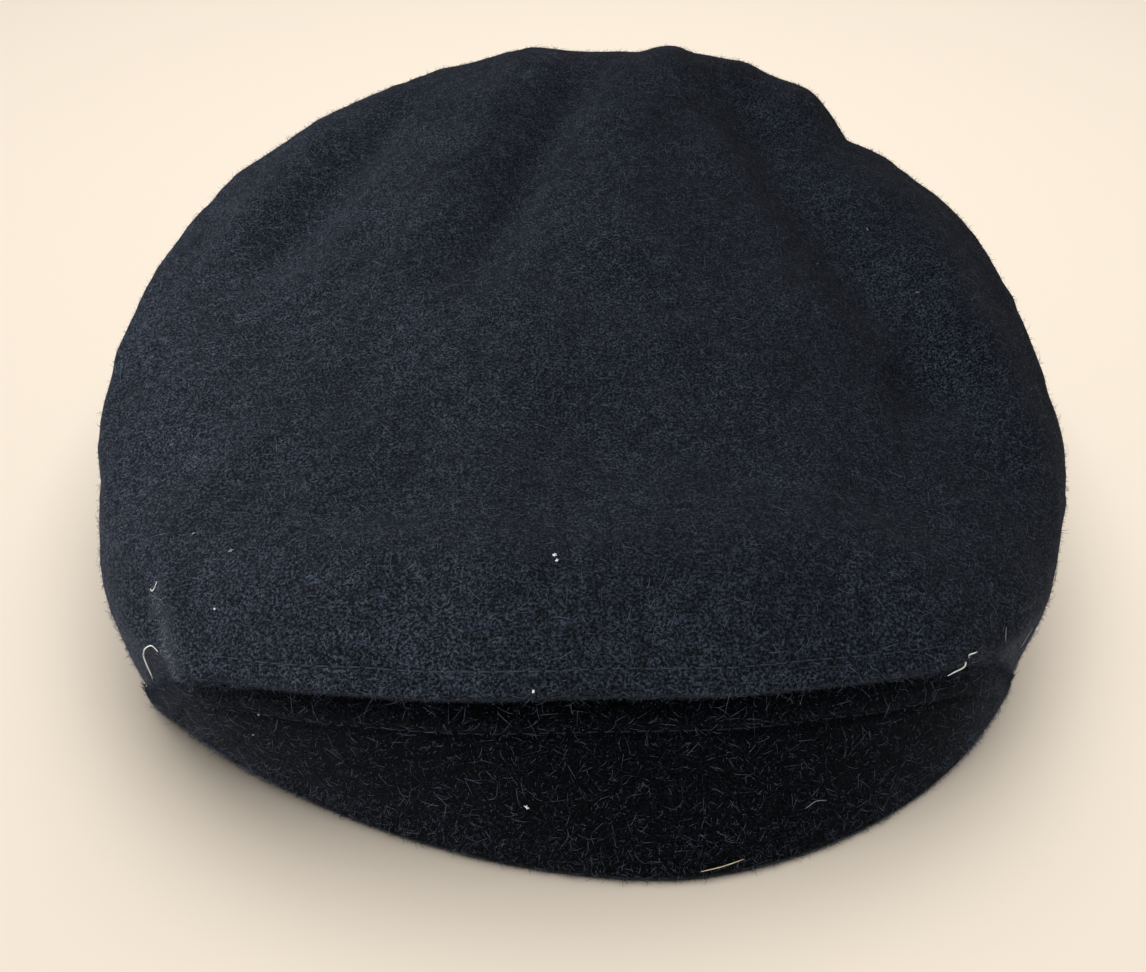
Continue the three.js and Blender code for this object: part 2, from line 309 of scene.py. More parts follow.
def rim_point(azimuth):
    u = np.asarray(azimuth, float) / PEAK_END
    bend = np.where(u < 0, BEND_LEFT, BEND_RIGHT)
    curve = 1 - np.maximum(0, 1 - np.abs(u) ** bend) ** (1 / RIM_ROUND)
    x = RIM_END_X * u + RIM_SKEW * (1 - u * u)
    y = RIM_FRONT_Y + (RIM_END_Y - RIM_FRONT_Y) * curve
    z = half_thickness(azimuth) + RIM_END_Z * curve
    return np.stack([x, y, z], -1)


def seam_closing(azimuth):
    """How far the seam has closed towards the corners, from 0 to 1."""
    return ramp((turn_from_front(azimuth) - SEAM_CLOSES) / SEAM_CLOSE_SPAN)


def seam_point(azimuth):
    edge = base_point(azimuth, EDGE)
    widest = base_point(azimuth, WIDEST)
    closing = seam_closing(azimuth)
    tuck = PEAK_TUCK + (CORNER_TUCK - PEAK_TUCK) * closing
    point = edge + (widest - edge) * tuck[..., None]
    tip = TIP_GAP * np.abs(np.asarray(azimuth, float) / PEAK_END) ** TIP_POWER
    point[..., 2] = edge[..., 2] - SEAM_GAP * (1 - (1 - SEAM_CLOSED) * closing) - tip
    return point


def peak_axes(azimuth):
    """Seam point, rim point, and the directions down the peak and out of its face."""
    seam, rim = seam_point(azimuth), rim_point(azimuth)
    along = unit(seam_point(azimuth + 1) - seam_point(azimuth - 1))
    upright = np.abs(np.asarray(azimuth, float) / PEAK_END)[..., None] ** TIP_POWER
    down = unit(unit(rim - seam) * (1 - upright) + np.array([0, 0, -1.0]) * upright)
    return seam, rim, down, unit(np.cross(down, along))


def peak_front():
    azimuth = np.arange(-40.0, 41.0, 4.0)
    _, rim, down, out = peak_axes(azimuth)
    half = half_thickness(azimuth)[:, None]
    angles = np.linspace(0, np.pi, 6)
    return min((rim + half * (np.cos(a) * out + np.sin(a) * down))[:, 1].min() for a in angles)


SHIFT = frame_shift()


# Making meshes

PIECES = []


def new_object(name, points, faces, materials, body="root"):
    """A smooth mesh object from points in millimetres of the form's own axes."""
    mesh = bpy.data.meshes.new(name)
    placed = (np.asarray(points) + SHIFT) * MM
    if isinstance(faces, np.ndarray):
        mesh.vertices.add(len(placed))
        mesh.vertices.foreach_set("co", placed.astype(np.float32).ravel())
        mesh.loops.add(faces.size)
        mesh.loops.foreach_set("vertex_index", faces.astype(np.int32).ravel())
        mesh.polygons.add(len(faces))
        mesh.polygons.foreach_set("loop_start", np.arange(0, faces.size, faces.shape[1], dtype=np.int32))
    else:
        mesh.from_pydata(placed.tolist(), [], faces)
    mesh.update(calc_edges=True)
    mesh.polygons.foreach_set("use_smooth", np.ones(len(mesh.polygons), bool))
    for material in materials:
        mesh.materials.append(material)
    piece = bpy.data.objects.new(name, mesh)
    bpy.context.scene.collection.objects.link(piece)
    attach(piece, body)
    PIECES.append(piece)
    return piece


def ring_quads(first, second, count):
    """Faces between two closed rings of equal length."""
    i = np.arange(count)
    j = (i + 1) % count
    return np.stack([first + i, second + i, second + j, first + j], -1)


def shader(name):
    material = bpy.data.materials.new(name)
    material.use_nodes = True
    nodes, links = material.node_tree.nodes, material.node_tree.links
    return material, nodes, links, nodes["Principled BSDF"]


def set_inputs(node, values):
    for socket, value in values.items():
        node.inputs[socket].default_value = value


# Materials

# Each noise is its scale, detail and roughness; each stop is a place from 0 to 1 and a colour
TUFTS, CLUMPS, MOTTLE = (1700.0, 4.0, 0.8), (330.0, 2.0, 0.6), (45.0, 3.0, 0.6)
# Tuft colours: partly the wool's own tone, partly painted shade that is darkest in the low pits of the bump
TUFT_AND_PIT_SHADE_STOPS = (
    (0.40, (0.0003, 0.0004, 0.0008)),
    (0.50, (0.0050, 0.0068, 0.0105)),
    (0.61, (0.035, 0.0455, 0.065)),
)
CLUMP_STOPS = ((0.30, (0.58, 0.58, 0.58)), (0.70, (1.35, 1.35, 1.35)))
MOTTLE_STOPS = ((0.30, (0.78, 0.78, 0.78)), (0.70, (1.2, 1.2, 1.2)))
BUMP_STRENGTH, BUMP_HEIGHT = 0.6, 0.0003
WOOL_SURFACE = {
    "Roughness": 0.95,
    "Specular IOR Level": 0.05,
    "Sheen Weight": 0.06,
    "Sheen Roughness": 0.55,
    "Sheen Tint": (0.62, 0.68, 0.85, 1),
}
FIBRE_ROUGHNESS, FIBRE_SPECULAR = 0.8, 0.1

# A painted shade is full between the two inner places across the cap, in metres, and gone at the outer ones
PLAIN = (1.0, 1.0, 1.0)
PAINTED_SHADE_PLACES, RAMP_MIDDLE = (-0.092, -0.045, 0.075, 0.100), 0.5


def noise(nodes, links, coordinates, scale, detail, roughness):
    node = nodes.new("ShaderNodeTexNoise")
    node.inputs["Scale"].default_value = scale
    node.inputs["Detail"].default_value = detail
    node.inputs["Roughness"].default_value = roughness
    links.new(coordinates, node.inputs["Vector"])
    return node.outputs["Fac"]


def colour_ramp(nodes, links, value, stops):
    node = nodes.new("ShaderNodeValToRGB")
    ramp_stops = node.color_ramp.elements
    while len(ramp_stops) < len(stops):
        ramp_stops.new(0.5)
    for element, (place, colour) in zip(ramp_stops, stops):
        element.position = place
        element.color = (*colour, 1)
    links.new(value, node.inputs["Fac"])
    return node.outputs["Color"]


def multiply(nodes, links, first, second):
    node = nodes.new("ShaderNodeMix")
    node.data_type = "RGBA"
    node.blend_type = "MULTIPLY"
    node.inputs["Factor"].default_value = 1.0
    links.new(first, node.inputs["A"])
    links.new(second, node.inputs["B"])
    return node.outputs["Result"]


def painted_shade_blend(nodes, links, spot, tone):
    """A painted shade that fades to plain white towards both sides."""
    split = nodes.new("ShaderNodeSeparateXYZ")
    links.new(spot, split.inputs["Vector"])
    across = nodes.new("ShaderNodeMath")
    across.operation = "ADD"
    across.inputs[1].default_value = RAMP_MIDDLE
    links.new(split.outputs["X"], across.inputs[0])
    places = [RAMP_MIDDLE + x for x in PAINTED_SHADE_PLACES]
    stops = tuple(zip(places, (PLAIN, tone, tone, PLAIN)))
    return colour_ramp(nodes, links, across.outputs["Value"], stops)


def wool_material(name, tone):
    """Felted navy wool: tufts in the wool's own tones with painted shade in the dark pits between them, broad
    mottling, a soft sheen, and any painted shade the tone gives across the middle.
    """
    material, nodes, links, bsdf = shader(name)
    spot = nodes.new("ShaderNodeTexCoord").outputs["Object"]
    tufts = noise(nodes, links, spot, *TUFTS)
    clumps = noise(nodes, links, spot, *CLUMPS)
    mottle = noise(nodes, links, spot, *MOTTLE)
    tuft_colour_and_pit_shade = colour_ramp(nodes, links, tufts, TUFT_AND_PIT_SHADE_STOPS)
    # A tone other than plain is painted shade, multiplied in across the middle of the cap
    tuft_colour_with_painted_shade = multiply(nodes, links, tuft_colour_and_pit_shade, painted_shade_blend(nodes, links, spot, tone))
    broad = colour_ramp(nodes, links, mottle, MOTTLE_STOPS)
    tufted = colour_ramp(nodes, links, clumps, CLUMP_STOPS)
    shade = multiply(nodes, links, multiply(nodes, links, tuft_colour_with_painted_shade, broad), tufted)
    links.new(shade, bsdf.inputs["Base Color"])
    bump = nodes.new("ShaderNodeBump")
    bump.inputs["Strength"].default_value = BUMP_STRENGTH
    bump.inputs["Distance"].default_value = BUMP_HEIGHT
    links.new(tufts, bump.inputs["Height"])
    links.new(bump.outputs["Normal"], bsdf.inputs["Normal"])
    set_inputs(bsdf, WOOL_SURFACE)
    return material


def fibre_material(name, colour):
    material, _, _, bsdf = shader(name)
    set_inputs(bsdf, {
        "Base Color": (*colour, 1),
        "Roughness": FIBRE_ROUGHNESS,
        "Specular IOR Level": FIBRE_SPECULAR,
    })
    return material


WOOL = wool_material("wool", PLAIN)
# The peak's cloth is painted darker across its middle, as shade; its corners, which catch the light, stay
# plain
SHADED_PEAK_WOOL = wool_material("wool_peak_painted_shade", (0.22, 0.30, 0.38))
# The lip's underside by the seam is painted dark, as the shade under its overhang
UNDER_LIP_SHADE_WOOL = wool_material("wool_under_lip_painted_shade", (0.08, 0.11, 0.14))
THREAD = fibre_material("thread_navy", (0.024, 0.030, 0.043))
# The peak's thread is the same navy thread painted darker, as shade
SHADED_PEAK_THREAD = fibre_material("thread_navy_painted_shade", (0.009, 0.012, 0.017))


# Crown

def crown_rings():
    """Each ring's place on the profile and its depth, from the outer pole to the inner one."""
    outer = np.concatenate([
        np.linspace(0, WIDEST, UPPER_RINGS + 1)[1:],
        np.linspace(WIDEST, HEM_START, UNDER_RINGS + 1)[1:],
        np.linspace(HEM_START, EDGE, HEM_RINGS + 1)[1:],
    ])
    inner = np.concatenate([
        np.linspace(0, WIDEST, INNER_UPPER + 1)[1:],
        np.linspace(WIDEST, EDGE, INNER_UNDER + 1)[1:],
    ])[::-1]
    return outer, inner


def lip_distance(points, outer):
    """Distance up the cloth from the widest line, for each outer ring; negative below it."""
    steps = np.linalg.norm(np.diff(points, axis=0), axis=-1)
    run = np.concatenate([np.zeros((1, points.shape[1])), np.cumsum(steps, 0)])
    widest = int(np.searchsorted(outer, WIDEST - 1e-9))
    return run[widest] - run


def make_crown():
    outer, inner = crown_rings()
    azimuth = np.arange(AZIMUTH_COUNT) * 360 / AZIMUTH_COUNT
    grid_a, grid_t = np.meshgrid(azimuth, outer)
    face = crown_point(grid_a, grid_t)
    normal = base_normal(grid_a, grid_t)
    front = ramp((CORNER_AZIMUTH + FRONT_PAST - turn_from_front(grid_a)) / FRONT_SPAN)
    up = lip_distance(face, outer)
    groove = np.exp(-(((up - LIP_ROW) / GROOVE_WIDTH) ** 2))
    puff = np.exp(-(((up - LIP_ROW * PUFF_PLACE) / (LIP_ROW * PUFF_WIDTH)) ** 2))
    pile_end = PILE_END + (PILE_END_FRONT - PILE_END) * front
    meets = seam_closing(grid_a) * ramp((PEAK_END + MEET_PAST - turn_from_front(grid_a)) / MEET_SPAN)
    pile = PILE * np.maximum(ramp((pile_end - grid_t) / PILE_SPAN), meets)
    face = face + normal * ((PUFF_HEIGHT * puff - GROOVE_DEPTH * groove) * front)[..., None]
    face = face + shell_normal(grid_a, grid_t) * pile[..., None]
    back = crown_point(*np.meshgrid(azimuth, inner), CLOTH)
    pole = crown_point(0.0, POLE_PLACE)
    points = np.concatenate([[pole], face.reshape(-1, 3), back.reshape(-1, 3), [pole - [0, 0, CLOTH]]])
    rings = len(outer) + len(inner)
    faces = []
    last = len(points) - 1
    first_of = lambda ring: 1 + ring * AZIMUTH_COUNT
    for i in range(AZIMUTH_COUNT):
        j = (i + 1) % AZIMUTH_COUNT
        faces.append((0, 1 + i, 1 + j))
        faces.append((last, first_of(rings - 1) + j, first_of(rings - 1) + i))
    for ring in range(rings - 1):
        faces.extend(ring_quads(first_of(ring), first_of(ring + 1), AZIMUTH_COUNT).tolist())
    piece = new_object("crown_cloth", points, faces, [WOOL, UNDER_LIP_SHADE_WOOL])
    # Faces under the lip at the front take the painted shade
    shaded_under_lip = (grid_t > LIP_UNDER) & (turn_from_front(grid_a) < SEAM_CLOSES + SEAM_CLOSE_SPAN)
    tone = np.zeros(len(faces), np.int32)
    tone[2 * AZIMUTH_COUNT:][:shaded_under_lip.size] = shaded_under_lip.ravel()
    piece.data.polygons.foreach_set("material_index", tone)
    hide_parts("crown")
    return face, normal, row_on_lip(azimuth, face, normal, up)


def row_on_lip(azimuth, face, normal, up):
    """Points and normals of the crown's stitch row, from left to right."""
    signed = (azimuth + 180) % 360 - 180
    columns = [i for i in np.argsort(signed) if abs(signed[i]) <= ROW_END]
    pick = lambda grid, i: [np.interp(LIP_ROW, up[::-1, i], grid[::-1, i, k]) for k in range(3)]
    return np.array([pick(face, i) for i in columns]), np.array([pick(normal, i) for i in columns])


# Peak

def make_peak():
    azimuth = np.linspace(PEAK_END, -PEAK_END, PEAK_SECTIONS)
    seam, rim, down, out = peak_axes(azimuth)
    half = half_thickness(azimuth)
    start = seam - out * half[:, None]
    length = np.linalg.norm(rim - start, axis=-1)

    def middle(v):
        return start + (rim - start) * v + out * (PEAK_BULGE * 4 * v * (1 - v))

    rows = []
    for i in range(FACE_ROWS):
        v = i / FACE_ROWS
        far = v * length
        edge = half * (1 - np.sqrt(np.clip(1 - (1 - np.clip(far / half, 0, 1)) ** 2, 0, 1)))
        groove = PEAK_GROOVE * np.exp(-(((far - PEAK_ROW) / GROOVE_WIDTH) ** 2))
        near_end = ramp((PEAK_END - np.abs(azimuth)) / ROW_FADE)
        fade = near_end * ramp((length - PEAK_ROW - ROW_MARGIN) / MARGIN_SPAN)
        rounded = edge * EDGE_ROUND * (1 - seam_closing(azimuth))
        pile = PILE * np.maximum(ramp(far / PILE_START), seam_closing(azimuth))
        rows.append(middle(v) + out * (half + pile - rounded - groove * fade)[:, None])
    for i in range(RIM_STEPS + 1):
        angle = np.pi * i / RIM_STEPS
        reach = half + PILE * ramp(length / PILE_START) * max(np.cos(angle), 0)
        rows.append(rim + out * (reach * np.cos(angle))[:, None] + down * (half * np.sin(angle))[:, None])
    inner = [middle(i / INNER_ROWS) - out * half[:, None] for i in range(INNER_ROWS)]
    level = (seam - inner[0])[:, 2] / np.minimum(down[:, 2], -LEAST_DROP)
    inner[0] = inner[0] + down * np.clip(level, 0, half)[:, None]
    rows.extend(reversed(inner))
    grid = np.stack(rows, 1)
    grid[..., 2] = np.maximum(grid[..., 2], FLOOR_GAP)
    face = grid[:, :FACE_ROWS + RIM_STEPS]
    count = grid.shape[1]
    points = grid.reshape(-1, 3)
    faces = []
    for k in range(PEAK_SECTIONS - 1):
        faces.extend(ring_quads(k * count, (k + 1) * count, count).tolist())
    ends = [grid[0].mean(0), grid[-1].mean(0)]
    first, last = len(points), len(points) + 1
    points = np.concatenate([points, ends])
    tail = (PEAK_SECTIONS - 1) * count
    for i in range(count):
        j = (i + 1) % count
        faces.append((first, i, j))
        faces.append((last, tail + j, tail + i))
    piece = new_object("peak_cloth", points, faces, [SHADED_PEAK_WOOL])
    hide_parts("peak")
    row = middle((PEAK_ROW / length)[:, None]) + out * (half + PILE - PEAK_GROOVE)[:, None]
    inside = np.abs(azimuth) <= ROW_END
    return face, (row[inside], out[inside])


crown_face, crown_normal, lip_row = make_crown()
peak_face, peak_row = make_peak()


# Stitching

def cross_axes(way):
    first = unit(np.cross(way, way[..., [1, 2, 0]] + [0.3, 0.1, 0.2]))
    return first, np.cross(way, first)


def tube_mesh(paths, radius, sides=6):
    """Closed tubes along paths (count, rings, 3), with a radius for each ring, in triangles."""
    count, rings = paths.shape[:2]
    first, second = cross_axes(unit(np.gradient(paths, axis=1)))
    corners = []
    for k in range(sides):
        angle = 2 * np.pi * k / sides
        corners.append(paths + radius[..., None] * (np.cos(angle) * first + np.sin(angle) * second))
    points = np.stack(corners, 2)
    faces = []
    for ring in range(rings - 1):
        a, b = ring * sides, (ring + 1) * sides
        for k in range(sides):
            j = (k + 1) % sides
            faces.append((a + k, a + j, b + j))
            faces.append((a + k, b + j, b + k))
    last = (rings - 1) * sides
    for k in range(1, sides - 1):
        faces.append((0, k + 1, k))
        faces.append((last, last + k, last + k + 1))
    offset = (np.arange(count) * rings * sides)[:, None, None]
    return points.reshape(-1, 3), (np.array(faces)[None] + offset).reshape(-1, 3)


def stitch_row(name, line, normals, thread):
    """Short stitches along a line on the cloth, as one joined mesh."""
    run = np.concatenate([[0], np.cumsum(np.linalg.norm(np.diff(line, axis=0), axis=-1))])
    along = lambda values, places: np.stack([np.interp(places, run, values[:, k]) for k in range(3)], -1)
    share = np.linspace(-1, 1, STITCH_RINGS)
    middles = np.arange(STITCH_SPACE, run[-1] - STITCH_SPACE, STITCH_SPACE)
    places = middles[:, None] + share * STITCH_LENGTH / 2
    height = STITCH_RISE - STITCH_DIVE * share**4
    paths = along(line, places) + unit(along(normals, places)) * height[:, None]
    points, faces = tube_mesh(paths, np.full(places.shape, STITCH_THICK / 2))
    new_object(name, points, faces, [thread])


stitch_row("crown_stitches", *lip_row, THREAD)
stitch_row("peak_stitches", *peak_row, SHADED_PEAK_THREAD)


# Nap and stray fibres

FIBRE_TAPER, TURN_BACK, ROOT_DEPTH, FIBRE_FLOOR = 0.55, 0.8, 0.15, 0.12


def surface_samples(grid, count, rng, wrap):
    """Random points spread evenly over a grid of points, with the outward normal at each."""
    if wrap:
        grid = np.concatenate([grid, grid[:, :1]], 1)
    side = grid[1:, :-1] - grid[:-1, :-1]
    across = grid[:-1, 1:] - grid[:-1, :-1]
    normal = np.cross(side, across)
    area = np.linalg.norm(normal, axis=-1).ravel()
    cell = rng.choice(len(area), count, p=area / area.sum())
    i, j = np.divmod(cell, grid.shape[1] - 1)
    u, v = rng.random((2, count, 1))
    low = grid[i, j] * (1 - v) + grid[i, j + 1] * v
    high = grid[i + 1, j] * (1 - v) + grid[i + 1, j + 1] * v
    return low * (1 - u) + high * u, unit(normal[i, j])


def directions(normals, lift, rng):
    """A random direction for each normal, raised from the surface by an angle in radians."""
    loose = rng.normal(size=normals.shape)
    flat = unit(loose - normals * (loose * normals).sum(-1, keepdims=True))
    return flat * np.cos(lift)[:, None] + normals * np.sin(lift)[:, None]


def fibre_mesh(path, width):
    """Closed tapered fibres of three sides: path is (count, rings + 1, 3), its last point the tip."""
    count, rings = path.shape[0], path.shape[1] - 1
    corners = []
    for ring in range(rings):
        first, second = cross_axes(unit(path[:, ring + 1] - path[:, ring]))
        size = (width * (1 - FIBRE_TAPER * ring / rings))[:, None]
        for k in range(3):
            angle = 2 * np.pi * k / 3
            corners.append(path[:, ring] + size * (np.cos(angle) * first + np.sin(angle) * second))
    points = np.stack([*corners, path[:, -1]], 1)
    faces = [(2, 1, 0)]
    for ring in range(rings - 1):
        a, b = 3 * ring, 3 * ring + 3
        for k in range(3):
            j = (k + 1) % 3
            faces.append((a + k, a + j, b + j))
            faces.append((a + k, b + j, b + k))
    a, tip = 3 * (rings - 1), 3 * rings
    faces.extend((a + k, a + (k + 1) % 3, tip) for k in range(3))
    offset = (np.arange(count) * (tip + 1))[:, None, None]
    return points.reshape(-1, 3), (np.array(faces)[None] + offset).reshape(-1, 3)


def fibre_paths(roots, normals, length, lift, curl, rings, rng):
    """Bent paths that leave the surface at an angle and turn sideways and back towards it."""
    start = directions(normals, lift, rng)
    turn = directions(normals, -lift * TURN_BACK, rng)
    share = np.linspace(0, 1, rings + 1)[None, :, None]
    reach = length[:, None, None]
    path = start[:, None] * share + turn[:, None] * curl[:, None, None] * share**2
    path = roots[:, None] - ROOT_DEPTH * normals[:, None] + reach * path
    path[..., 2] = np.maximum(path[..., 2], FIBRE_FLOOR)
    return path


def fibre_piece(name, roots, normals, rng, length, lift, curl, width, rings, tones):
    """One joined mesh of fibres from their roots; each range is (least, most) of an even spread."""
    count = len(roots)

    def spread(pair):
        return rng.uniform(*pair, count)

    path = fibre_paths(roots, normals, spread(length), np.radians(spread(lift)), spread(curl), rings, rng)
    points, faces = fibre_mesh(path, spread(width))
    piece = new_object(name, points, faces, [FIBRES[tone] for tone in tones])
    per_fibre = len(faces) // count
    tone = rng.integers(0, len(tones), count)
    piece.data.polygons.foreach_set("material_index", np.repeat(tone, per_fibre).astype(np.int32))


def nap_piece(name, grid, wrap, count, seed, **look):
    """Fibres spread evenly over a surface."""
    rng = np.random.default_rng(seed)
    fibre_piece(name, *surface_samples(grid, count, rng, wrap), rng, **look)


FIBRES = {
    "dark": fibre_material("fibre_dark", (0.007, 0.0095, 0.015)),
    "navy": fibre_material("fibre_navy", (0.021, 0.028, 0.044)),
    "pale": fibre_material("fibre_pale", (0.085, 0.1, 0.14)),
    "grey": fibre_material("fibre_grey", (0.16, 0.17, 0.2)),
    "white": fibre_material("lint_white", (0.62, 0.63, 0.62)),
    "straw": fibre_material("lint_straw", (0.5, 0.42, 0.27)),
}
NAP = dict(length=(0.4, 1.3), lift=(8, 60), curl=(0, 0), width=(0.04, 0.085), rings=1)
FUZZ = dict(length=(1.5, 4.0), lift=(5, 45), curl=(0.3, 1.0), width=(0.03, 0.06), rings=3)
EDGE_FUZZ = dict(length=(0.8, 2.6), curl=(0.1, 0.6), width=(0.035, 0.06), rings=2,
                 tones=("navy", "navy", "pale"))
CROWN_NAP, CROWN_FUZZ, CROWN_EDGE = 28000, 5000, 8000
PEAK_NAP, PEAK_FUZZ, PEAK_EDGE = 24000, 3000, 3000
SHOULDER, RIM_ROWS = (0.72, 1.35), 12

visible_crown = crown_face[POLE_RINGS:]
for part in range(3):
    nap_piece(f"crown_nap_{part}", visible_crown, True, CROWN_NAP, SEED + 10 + part,
              tones=("dark", "navy", "navy", "pale"), **NAP)
for part in range(2):
    nap_piece(f"crown_fuzz_{part}", visible_crown, True, CROWN_FUZZ, SEED + 20 + part,
              tones=("navy", "pale", "pale"), **FUZZ)
nap_piece("peak_nap", peak_face, False, PEAK_NAP, SEED + 30,
          tones=("dark", "dark", "navy", "navy", "pale"), **NAP)
nap_piece("peak_fuzz", peak_face, False, PEAK_FUZZ, SEED + 31, tones=("navy", "pale"), **FUZZ)


def crown_band(low, high):
    """The crown's outer rings between two places on its profile."""
    outer = crown_rings()[0]
    return crown_face[(outer > low) & (outer < high)]


# Upright fuzz round the crown's shoulder and the peak's rim, where the cloth is seen edge on
nap_piece("crown_edge_fuzz", crown_band(*SHOULDER), True, CROWN_EDGE, SEED + 40, lift=(25, 85), **EDGE_FUZZ)
nap_piece("peak_edge_fuzz", peak_face[:, FACE_ROWS - RIM_ROWS:], False, PEAK_EDGE, SEED + 41,
          lift=(20, 80), **EDGE_FUZZ)


# Loose threads and lint caught in the nap

# Lift is the height above the cloth; a thread without one hangs free, at just the points given
LINT_COLUMNS = ("tone", "thick", "lift", "points")
LINT = (
    ("white", 0.3, 0.5, (
        (-90.3, -96.1, 38.7), (-92.6, -94.6, 38.5), (-94.8, -93.4, 36.6), (-96.5, -92.5, 33),
        (-97.4, -92, 28.8), (-97.6, -92.1, 25.6), (-97.7, -92.2, 23),
    )),
    ("white", 0.24, 0.4, (
        (-94.2, -84.5, 44.6), (-93.6, -85.1, 44.4), (-92.9, -85, 45.2), (-92.2, -84.3, 46.6),
    )),
    ("white", 0.34, None, (
        (75.6, -107.4, 39.5), (76.9, -107.1, 40.4), (78.9, -106.6, 41.7), (79.3, -105.2, 43),
        (81.4, -104.9, 44.2),
    )),
    ("white", 0.28, None, ((78.6, -104.7, 43), (79.9, -105.4, 43.1))),
    ("grey", 0.2, 0.4, ((89, -98.9, 40.5), (89.8, -97.4, 41.4), (90.2, -96.1, 41.5))),
    ("grey", 0.2, 0.5, ((96.4, -93, 32), (97.4, -92.4, 34.2), (98.4, -91.3, 36.4))),
    ("straw", 0.26, 0.5, ((24, -129, 3.2), (28.5, -129, 4), (33.5, -128.6, 5.2))),
    ("grey", 0.2, 0.6, ((46, -121, 14), (48.5, -120.6, 15.4), (51, -119.8, 14.6))),
)
SPECK_COLUMNS = ("tone", "x", "y", "z", "size")
SPECKS = (
    ("white", -6.2, -89.5, 58.2, 1.5),
    ("white", -5.7, -90.8, 58, 0.8),
    ("white", -12.2, -120.2, 18.7, 1.3),
    ("white", -10.6, -116.4, 49.2, 0.8),
    ("white", -77.1, -94.6, 49.1, 0.7),
    ("grey", -86.3, -73.6, 50.3, 0.9),
    ("grey", -76, -81, 52.3, 1.4),
    ("grey", -68.7, -105.8, 30.8, 0.8),
    ("grey", -70.6, -104.5, 23.8, 0.8),
    ("grey", 68.5, 18.4, 62, 1.2),
    ("grey", 93.2, 3.9, 61.2, 1.4),
    ("grey", 84.6, 30.2, 66.1, 1.2),
)
SPECK_BITS, SPECK_THICK, SPECK_LIFT, SPECK_BEND = 3, 0.3, 0.25, 0.25
SPECK_SPREAD = (0.6, 1.0)
LINT_STEPS, LINT_TAPER = 6, 0.6


def settle(points):
    """Points moved straight onto the nearest of the cloth's outer faces, and the normals there."""
    peak_normal = np.cross(np.gradient(peak_face, axis=0), np.gradient(peak_face, axis=1))
    cloth = np.concatenate([crown_face.reshape(-1, 3), peak_face.reshape(-1, 3)])
    normals = np.concatenate([crown_normal.reshape(-1, 3), unit(peak_normal).reshape(-1, 3)])
    nearest = [int(np.linalg.norm(cloth - p, axis=-1).argmin()) for p in points]
    near, normal = cloth[nearest], normals[nearest]
    return points - normal * ((points - near) * normal).sum(-1, keepdims=True), normal


def smooth_path(points):
    """A curve through points, with slopes taken from their neighbours."""
    ends = np.concatenate([[2 * points[0] - points[1]], points, [2 * points[-1] - points[-2]]])
    t = np.linspace(0, 1, LINT_STEPS, endpoint=False)[:, None]
    rows = []
    for a, b, c, d in zip(ends, ends[1:], ends[2:], ends[3:]):
        bend = (2 * a - 5 * b + 4 * c - d) * t**2 + (3 * b - a - 3 * c + d) * t**3
        rows.append(b + 0.5 * ((c - a) * t + bend))
    return np.concatenate([*rows, points[-1:]])


def thread_mesh(path, thick):
    taper = 1 - LINT_TAPER * np.linspace(-1, 1, len(path)) ** 4
    return tube_mesh(path[None], taper[None] * thick / 2)


def speck_meshes(speck, rng):
    """A few short bits of fibre that cross at one place."""
    place, normal = settle(np.array([[speck["x"], speck["y"], speck["z"]]], float))
    for _ in range(SPECK_BITS):
        way = directions(normal, np.zeros(1), rng)
        bend = directions(normal, np.zeros(1), rng) * SPECK_BEND
        share = np.linspace(-0.5, 0.5, LINT_STEPS)[:, None]
        size = speck["size"] * rng.uniform(*SPECK_SPREAD)
        path = place + normal * SPECK_LIFT + size * (way * share + bend * share**2)
        yield thread_mesh(path, SPECK_THICK)


def make_lint():
    """One joined mesh for each tone of lint."""
    rng = np.random.default_rng(SEED + 50)
    meshes = {}
    for row in LINT:
        thread = dict(zip(LINT_COLUMNS, row))
        place = np.array(thread["points"], float)
        if thread["lift"] is not None:
            place, normal = settle(place)
            place = place + normal * thread["lift"]
        path = smooth_path(place)
        meshes.setdefault(thread["tone"], []).append(thread_mesh(path, thread["thick"]))
    for row in SPECKS:
        speck = dict(zip(SPECK_COLUMNS, row))
        meshes.setdefault(speck["tone"], []).extend(speck_meshes(speck, rng))
    for tone, parts in meshes.items():
        firsts = np.cumsum([0] + [len(points) for points, _ in parts])
        faces = np.concatenate([part + first for (_, part), first in zip(parts, firsts)])
        joined = np.concatenate([points for points, _ in parts])
        new_object(f"lint_{tone}", joined, faces, [FIBRES[tone]])


make_lint()


# Nap that hides the join of the seam at both corners, pale fuzz on the ridges beside it as a painted
# highlight, and the lip's fringe

CORNER_NAP, CORNER_NAP_START, CORNER_NAP_SPREAD = 1300, 33.0, 1.8
FRINGE_NAP, FRINGE_END, FRINGE_BAND = 4200, 42.0, (0.985, 1.5)
RIDGE_NAP, RIDGE_SPREAD = 420, 1.3
LEFT_RIDGE = (
    (-93.5, -83.1, 45.9), (-90.7, -90.1, 44.3), (-88.8, -96.1, 41.4), (-85.6, -101.9, 40.4),
    (-84.6, -102, 34),
)
RIGHT_RIDGE = (
    (89, -101, 4), (100, -89, 5), (106.5, -80, 8), (110, -74.5, 14), (112, -70, 23), (114.5, -60.5, 34),
)
LAID = dict(curl=(0.1, 0.5), rings=2)
CORNER_LOOK = dict(length=(0.8, 2.2), lift=(5, 40), width=(0.05, 0.11),
                   tones=("dark", "navy", "navy"), **LAID)
# Pale fibres on the ridges paint the light that the ridges catch
PALE_RIDGE_HIGHLIGHT_LOOK = dict(length=(0.8, 2.4), lift=(10, 60), width=(0.03, 0.07),
                  tones=("pale", "pale", "grey"), **LAID)
FRINGE_LOOK = dict(length=(0.6, 1.6), lift=(5, 50), width=(0.05, 0.10),
                   tones=("dark", "dark", "navy"), **LAID)


